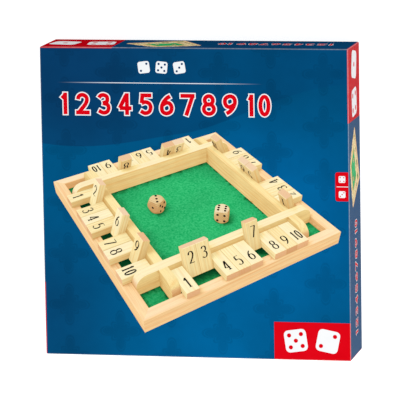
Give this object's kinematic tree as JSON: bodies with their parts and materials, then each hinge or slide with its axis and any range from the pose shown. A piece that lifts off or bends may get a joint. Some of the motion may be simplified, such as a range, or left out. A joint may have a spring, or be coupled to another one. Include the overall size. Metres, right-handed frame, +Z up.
{
  "type": "boxed shut the box game",
  "caption": "Square cardboard game box with lift-off lid, holding a wooden four-sided tile-flipping dice game with hinged number tiles, felt well and dice.",
  "frame": {"origin": "middle of the box's underside, with the box lying flat and its lid up", "axes": "+Z up through the lid; the game's front bank of tiles faces -Y, its right bank +X"},
  "size_m": [0.2502, 0.2502, 0.0528],
  "materials": {
    "greyboard": "uncoated greyboard",
    "lid_paper": "printed, satin laminated",
    "tray_paper": "printed, satin laminated",
    "pine": "clear satin lacquer",
    "tile_wood": "clear satin lacquer",
    "plywood": "bare plywood",
    "felt": "short wool felt",
    "steel": "drawn wire",
    "die_wood": "satin lacquer, black pips"
  },
  "bodies": {
    "tray": {"tray_board": "greyboard", "tray_wrap": "tray_paper"},
    "game": {"base_panel": "plywood", "felt_sheet": "felt", "rail_front": "pine", "rail_right": "pine", "rail_back": "pine", "rail_left": "pine", "wall_front": "pine", "wall_right": "pine", "wall_back": "pine", "wall_left": "pine", "rods": "steel"},
    "lid": {"lid_board": "greyboard", "lid_wrap": "lid_paper"},
    "die_a": {"die_a": "die_wood"},
    "die_b": {"die_b": "die_wood"},
    "tile_front_1": {"tile_front_1": "tile_wood"},
    "tile_front_2": {"tile_front_2": "tile_wood"},
    "tile_front_3": {"tile_front_3": "tile_wood"},
    "tile_front_4": {"tile_front_4": "tile_wood"},
    "tile_front_5": {"tile_front_5": "tile_wood"},
    "tile_front_6": {"tile_front_6": "tile_wood"},
    "tile_front_7": {"tile_front_7": "tile_wood"},
    "tile_front_8": {"tile_front_8": "tile_wood"},
    "tile_front_9": {"tile_front_9": "tile_wood"},
    "tile_front_10": {"tile_front_10": "tile_wood"},
    "tile_right_1": {"tile_right_1": "tile_wood"},
    "tile_right_2": {"tile_right_2": "tile_wood"},
    "tile_right_3": {"tile_right_3": "tile_wood"},
    "tile_right_4": {"tile_right_4": "tile_wood"},
    "tile_right_5": {"tile_right_5": "tile_wood"},
    "tile_right_6": {"tile_right_6": "tile_wood"},
    "tile_right_7": {"tile_right_7": "tile_wood"},
    "tile_right_8": {"tile_right_8": "tile_wood"},
    "tile_right_9": {"tile_right_9": "tile_wood"},
    "tile_right_10": {"tile_right_10": "tile_wood"},
    "tile_back_1": {"tile_back_1": "tile_wood"},
    "tile_back_2": {"tile_back_2": "tile_wood"},
    "tile_back_3": {"tile_back_3": "tile_wood"},
    "tile_back_4": {"tile_back_4": "tile_wood"},
    "tile_back_5": {"tile_back_5": "tile_wood"},
    "tile_back_6": {"tile_back_6": "tile_wood"},
    "tile_back_7": {"tile_back_7": "tile_wood"},
    "tile_back_8": {"tile_back_8": "tile_wood"},
    "tile_back_9": {"tile_back_9": "tile_wood"},
    "tile_back_10": {"tile_back_10": "tile_wood"},
    "tile_left_1": {"tile_left_1": "tile_wood"},
    "tile_left_2": {"tile_left_2": "tile_wood"},
    "tile_left_3": {"tile_left_3": "tile_wood"},
    "tile_left_4": {"tile_left_4": "tile_wood"},
    "tile_left_5": {"tile_left_5": "tile_wood"},
    "tile_left_6": {"tile_left_6": "tile_wood"},
    "tile_left_7": {"tile_left_7": "tile_wood"},
    "tile_left_8": {"tile_left_8": "tile_wood"},
    "tile_left_9": {"tile_left_9": "tile_wood"},
    "tile_left_10": {"tile_left_10": "tile_wood"}
  },
  "joints": [
    {"name": "lid_lift", "type": "slide", "parent": "game", "child": "lid", "axis": [0, 0, 1], "range_m": [0, 0.16]},
    {"name": "game_lift", "type": "slide", "parent": "tray", "child": "game", "axis": [0, 0, 1], "range_m": [0, 0.06]},
    {"name": "die_a_roll", "type": "slide", "parent": "game", "child": "die_a", "axis": [1, 0, 0], "range_m": [-0.041, 0.083]},
    {"name": "die_b_roll", "type": "slide", "parent": "game", "child": "die_b", "axis": [1, 0, 0], "range_m": [-0.084, 0.04]},
    {"name": "front_1_flip", "type": "hinge", "parent": "game", "child": "tile_front_1", "pos_m": [-0.0666, -0.092, 0.0237], "axis": [-1, 0, 0], "range_deg": [-110.94, 0]},
    {"name": "front_2_flip", "type": "hinge", "parent": "game", "child": "tile_front_2", "pos_m": [-0.0518, -0.092, 0.0237], "axis": [-1, 0, 0], "range_deg": [0, 110.94]},
    {"name": "front_3_flip", "type": "hinge", "parent": "game", "child": "tile_front_3", "pos_m": [-0.037, -0.092, 0.0237], "axis": [-1, 0, 0], "range_deg": [0, 110.94]},
    {"name": "front_4_flip", "type": "hinge", "parent": "game", "child": "tile_front_4", "pos_m": [-0.0222, -0.092, 0.0237], "axis": [-1, 0, 0], "range_deg": [-110.94, 0]},
    {"name": "front_5_flip", "type": "hinge", "parent": "game", "child": "tile_front_5", "pos_m": [-0.0074, -0.092, 0.0237], "axis": [-1, 0, 0], "range_deg": [-110.94, 0]},
    {"name": "front_6_flip", "type": "hinge", "parent": "game", "child": "tile_front_6", "pos_m": [0.0074, -0.092, 0.0237], "axis": [-1, 0, 0], "range_deg": [0, 110.94]},
    {"name": "front_7_flip", "type": "hinge", "parent": "game", "child": "tile_front_7", "pos_m": [0.0222, -0.092, 0.0237], "axis": [-1, 0, 0], "range_deg": [0, 110.94]},
    {"name": "front_8_flip", "type": "hinge", "parent": "game", "child": "tile_front_8", "pos_m": [0.037, -0.092, 0.0237], "axis": [-1, 0, 0], "range_deg": [0, 110.94]},
    {"name": "front_9_flip", "type": "hinge", "parent": "game", "child": "tile_front_9", "pos_m": [0.0518, -0.092, 0.0237], "axis": [-1, 0, 0], "range_deg": [-110.94, 0]},
    {"name": "front_10_flip", "type": "hinge", "parent": "game", "child": "tile_front_10", "pos_m": [0.0666, -0.092, 0.0237], "axis": [-1, 0, 0], "range_deg": [-110.94, 0]},
    {"name": "right_1_flip", "type": "hinge", "parent": "game", "child": "tile_right_1", "pos_m": [0.092, -0.0666, 0.0237], "axis": [0, -1, 0], "range_deg": [-110.94, 0]},
    {"name": "right_2_flip", "type": "hinge", "parent": "game", "child": "tile_right_2", "pos_m": [0.092, -0.0518, 0.0237], "axis": [0, -1, 0], "range_deg": [0, 110.94]},
    {"name": "right_3_flip", "type": "hinge", "parent": "game", "child": "tile_right_3", "pos_m": [0.092, -0.037, 0.0237], "axis": [0, -1, 0], "range_deg": [0, 110.94]},
    {"name": "right_4_flip", "type": "hinge", "parent": "game", "child": "tile_right_4", "pos_m": [0.092, -0.0222, 0.0237], "axis": [0, -1, 0], "range_deg": [0, 110.94]},
    {"name": "right_5_flip", "type": "hinge", "parent": "game", "child": "tile_right_5", "pos_m": [0.092, -0.0074, 0.0237], "axis": [0, -1, 0], "range_deg": [0, 110.94]},
    {"name": "right_6_flip", "type": "hinge", "parent": "game", "child": "tile_right_6", "pos_m": [0.092, 0.0074, 0.0237], "axis": [0, -1, 0], "range_deg": [0, 110.94]},
    {"name": "right_7_flip", "type": "hinge", "parent": "game", "child": "tile_right_7", "pos_m": [0.092, 0.0222, 0.0237], "axis": [0, -1, 0], "range_deg": [-110.94, 0]},
    {"name": "right_8_flip", "type": "hinge", "parent": "game", "child": "tile_right_8", "pos_m": [0.092, 0.037, 0.0237], "axis": [0, -1, 0], "range_deg": [0, 110.94]},
    {"name": "right_9_flip", "type": "hinge", "parent": "game", "child": "tile_right_9", "pos_m": [0.092, 0.0518, 0.0237], "axis": [0, -1, 0], "range_deg": [0, 110.94]},
    {"name": "right_10_flip", "type": "hinge", "parent": "game", "child": "tile_right_10", "pos_m": [0.092, 0.0666, 0.0237], "axis": [0, -1, 0], "range_deg": [-110.94, 0]},
    {"name": "back_1_flip", "type": "hinge", "parent": "game", "child": "tile_back_1", "pos_m": [0.0666, 0.092, 0.0237], "axis": [1, 0, 0], "range_deg": [-110.94, 0]},
    {"name": "back_2_flip", "type": "hinge", "parent": "game", "child": "tile_back_2", "pos_m": [0.0518, 0.092, 0.0237], "axis": [1, 0, 0], "range_deg": [-110.94, 0]},
    {"name": "back_3_flip", "type": "hinge", "parent": "game", "child": "tile_back_3", "pos_m": [0.037, 0.092, 0.0237], "axis": [1, 0, 0], "range_deg": [0, 110.94]},
    {"name": "back_4_flip", "type": "hinge", "parent": "game", "child": "tile_back_4", "pos_m": [0.0222, 0.092, 0.0237], "axis": [1, 0, 0], "range_deg": [0, 110.94]},
    {"name": "back_5_flip", "type": "hinge", "parent": "game", "child": "tile_back_5", "pos_m": [0.0074, 0.092, 0.0237], "axis": [1, 0, 0], "range_deg": [0, 110.94]},
    {"name": "back_6_flip", "type": "hinge", "parent": "game", "child": "tile_back_6", "pos_m": [-0.0074, 0.092, 0.0237], "axis": [1, 0, 0], "range_deg": [0, 110.94]},
    {"name": "back_7_flip", "type": "hinge", "parent": "game", "child": "tile_back_7", "pos_m": [-0.0222, 0.092, 0.0237], "axis": [1, 0, 0], "range_deg": [-110.94, 0]},
    {"name": "back_8_flip", "type": "hinge", "parent": "game", "child": "tile_back_8", "pos_m": [-0.037, 0.092, 0.0237], "axis": [1, 0, 0], "range_deg": [0, 110.94]},
    {"name": "back_9_flip", "type": "hinge", "parent": "game", "child": "tile_back_9", "pos_m": [-0.0518, 0.092, 0.0237], "axis": [1, 0, 0], "range_deg": [0, 110.94]},
    {"name": "back_10_flip", "type": "hinge", "parent": "game", "child": "tile_back_10", "pos_m": [-0.0666, 0.092, 0.0237], "axis": [1, 0, 0], "range_deg": [-110.94, 0]},
    {"name": "left_1_flip", "type": "hinge", "parent": "game", "child": "tile_left_1", "pos_m": [-0.092, 0.0666, 0.0237], "axis": [0, 1, 0], "range_deg": [-110.94, 0]},
    {"name": "left_2_flip", "type": "hinge", "parent": "game", "child": "tile_left_2", "pos_m": [-0.092, 0.0518, 0.0237], "axis": [0, 1, 0], "range_deg": [0, 110.94]},
    {"name": "left_3_flip", "type": "hinge", "parent": "game", "child": "tile_left_3", "pos_m": [-0.092, 0.037, 0.0237], "axis": [0, 1, 0], "range_deg": [-110.94, 0]},
    {"name": "left_4_flip", "type": "hinge", "parent": "game", "child": "tile_left_4", "pos_m": [-0.092, 0.0222, 0.0237], "axis": [0, 1, 0], "range_deg": [0, 110.94]},
    {"name": "left_5_flip", "type": "hinge", "parent": "game", "child": "tile_left_5", "pos_m": [-0.092, 0.0074, 0.0237], "axis": [0, 1, 0], "range_deg": [-110.94, 0]},
    {"name": "left_6_flip", "type": "hinge", "parent": "game", "child": "tile_left_6", "pos_m": [-0.092, -0.0074, 0.0237], "axis": [0, 1, 0], "range_deg": [-110.94, 0]},
    {"name": "left_7_flip", "type": "hinge", "parent": "game", "child": "tile_left_7", "pos_m": [-0.092, -0.0222, 0.0237], "axis": [0, 1, 0], "range_deg": [0, 110.94]},
    {"name": "left_8_flip", "type": "hinge", "parent": "game", "child": "tile_left_8", "pos_m": [-0.092, -0.037, 0.0237], "axis": [0, 1, 0], "range_deg": [0, 110.94]},
    {"name": "left_9_flip", "type": "hinge", "parent": "game", "child": "tile_left_9", "pos_m": [-0.092, -0.0518, 0.0237], "axis": [0, 1, 0], "range_deg": [-110.94, 0]},
    {"name": "left_10_flip", "type": "hinge", "parent": "game", "child": "tile_left_10", "pos_m": [-0.092, -0.0666, 0.0237], "axis": [0, 1, 0], "range_deg": [0, 110.94]}
  ]
}
